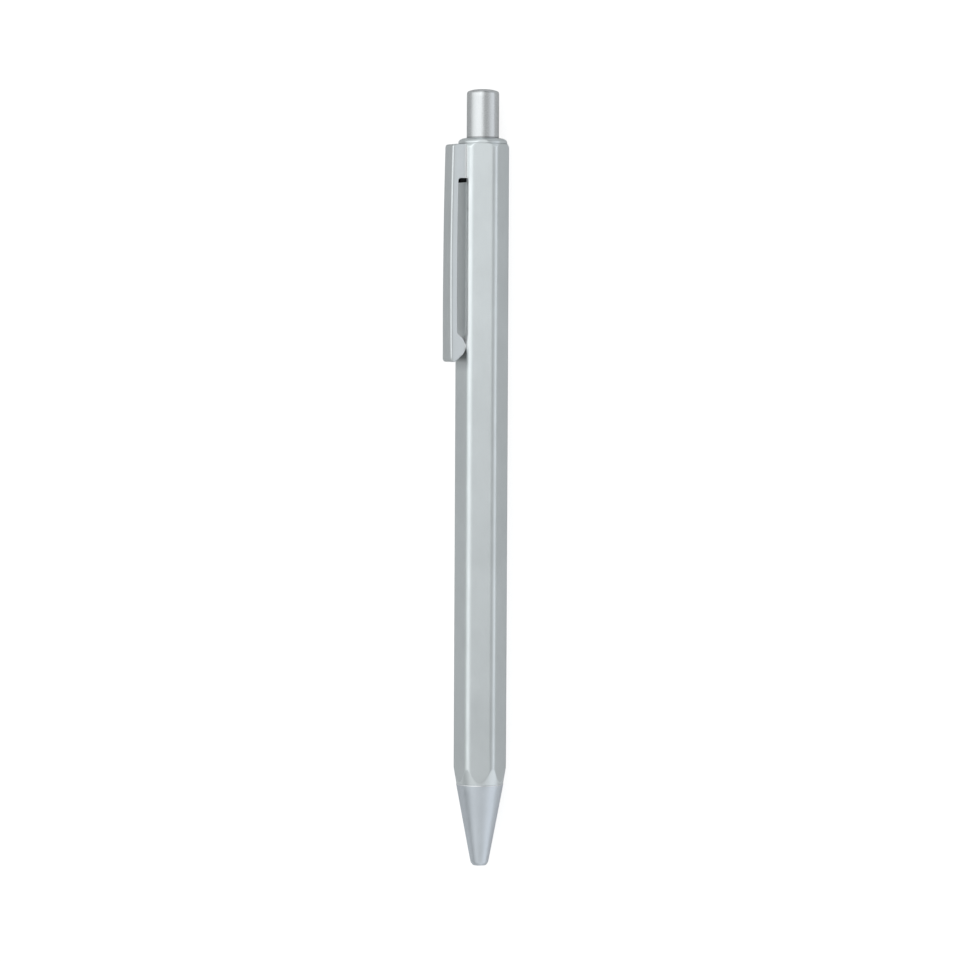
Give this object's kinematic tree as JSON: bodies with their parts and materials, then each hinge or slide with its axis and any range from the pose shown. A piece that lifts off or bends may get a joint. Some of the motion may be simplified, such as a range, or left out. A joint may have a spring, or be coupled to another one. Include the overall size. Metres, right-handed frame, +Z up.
{
  "type": "pushbutton ballpoint pen",
  "caption": "Slim metal pushbutton ballpoint pen with a hexagonal barrel, rounded edges, pocket clip, round button and conical nose; the button slides the refill point out and the clip flexes.",
  "frame": {"origin": "on the barrel flat that the pen lies on, straight under the pen's axis and midway along its length", "axes": "+X along the pen's axis towards the writing end, +Z up from the flat it lies on, the clip on the -Y side and tilted up"},
  "size_m": [0.14, 0.0118, 0.0093],
  "materials": {
    "anodised_silver": "fine satin, rounded edges brighter",
    "satin_button": "satin turned",
    "blasted_nose": "bead-blasted matte, slightly blue-grey",
    "clip_steel": "satin plated",
    "brass": "machined",
    "white_acetal": "moulded",
    "dark_acetal": "moulded",
    "spring_steel": "drawn wire",
    "refill_steel": "plated tube",
    "point_alloy": "turned nickel silver",
    "carbide": "lapped ball",
    "ink": "paste ink"
  },
  "bodies": {
    "barrel": {"hex_barrel": "anodised_silver", "top_collar": "anodised_silver", "clip_tang": "clip_steel", "front_thread_bush": "brass", "cam_sleeve": "white_acetal", "return_spring": "spring_steel"},
    "nose": {"nose_cone": "blasted_nose"},
    "button": {"push_button": "satin_button", "thrust_plunger": "white_acetal"},
    "rotor": {"rotor_cam": "dark_acetal"},
    "refill": {"refill_tube": "refill_steel", "refill_front_sleeve": "brass", "refill_point": "point_alloy", "refill_ink": "ink", "refill_end_plug": "dark_acetal"},
    "ball": {"writing_ball": "carbide"},
    "clip_arm": {"clip": "clip_steel"}
  },
  "joints": [
    {"name": "button_press", "type": "slide", "parent": "barrel", "child": "button", "axis": [1, 0, 0], "range_m": [0, 0.0058], "stiffness_N_per_m": 300, "springref_m": -0.005},
    {"name": "refill_slide", "type": "slide", "parent": "barrel", "child": "refill", "axis": [1, 0, 0], "range_m": [0, 0.0058], "deforming": ["return_spring"]},
    {"name": "rotor_turn", "type": "hinge", "parent": "button", "child": "rotor", "pos_m": [0, 0, 0.00428], "axis": [-1, 0, 0], "range_deg": [0, 22.5]},
    {"name": "clip_flex", "type": "hinge", "parent": "barrel", "child": "clip_arm", "pos_m": [-0.0597, -0.0037, 0.00641], "axis": [0, -0.5, -0.866], "range_deg": [0, 4], "stiffness_Nm_per_rad": 2, "springref_deg": -1.15},
    {"name": "nose_unscrew", "type": "slide", "parent": "barrel", "child": "nose", "axis": [1, 0, 0], "range_m": [0, 0.026]},
    {"name": "ball_roll", "type": "hinge", "parent": "refill", "child": "ball", "pos_m": [0.0677, 0, 0.00428], "axis": [0, 1, 0], "continuous": true}
  ],
  "couplings": [
    {"joint": "refill_slide", "follows": "button_press", "ratio": 1},
    {"joint": "rotor_turn", "follows": "button_press", "rad_per_m": 67.7}
  ]
}
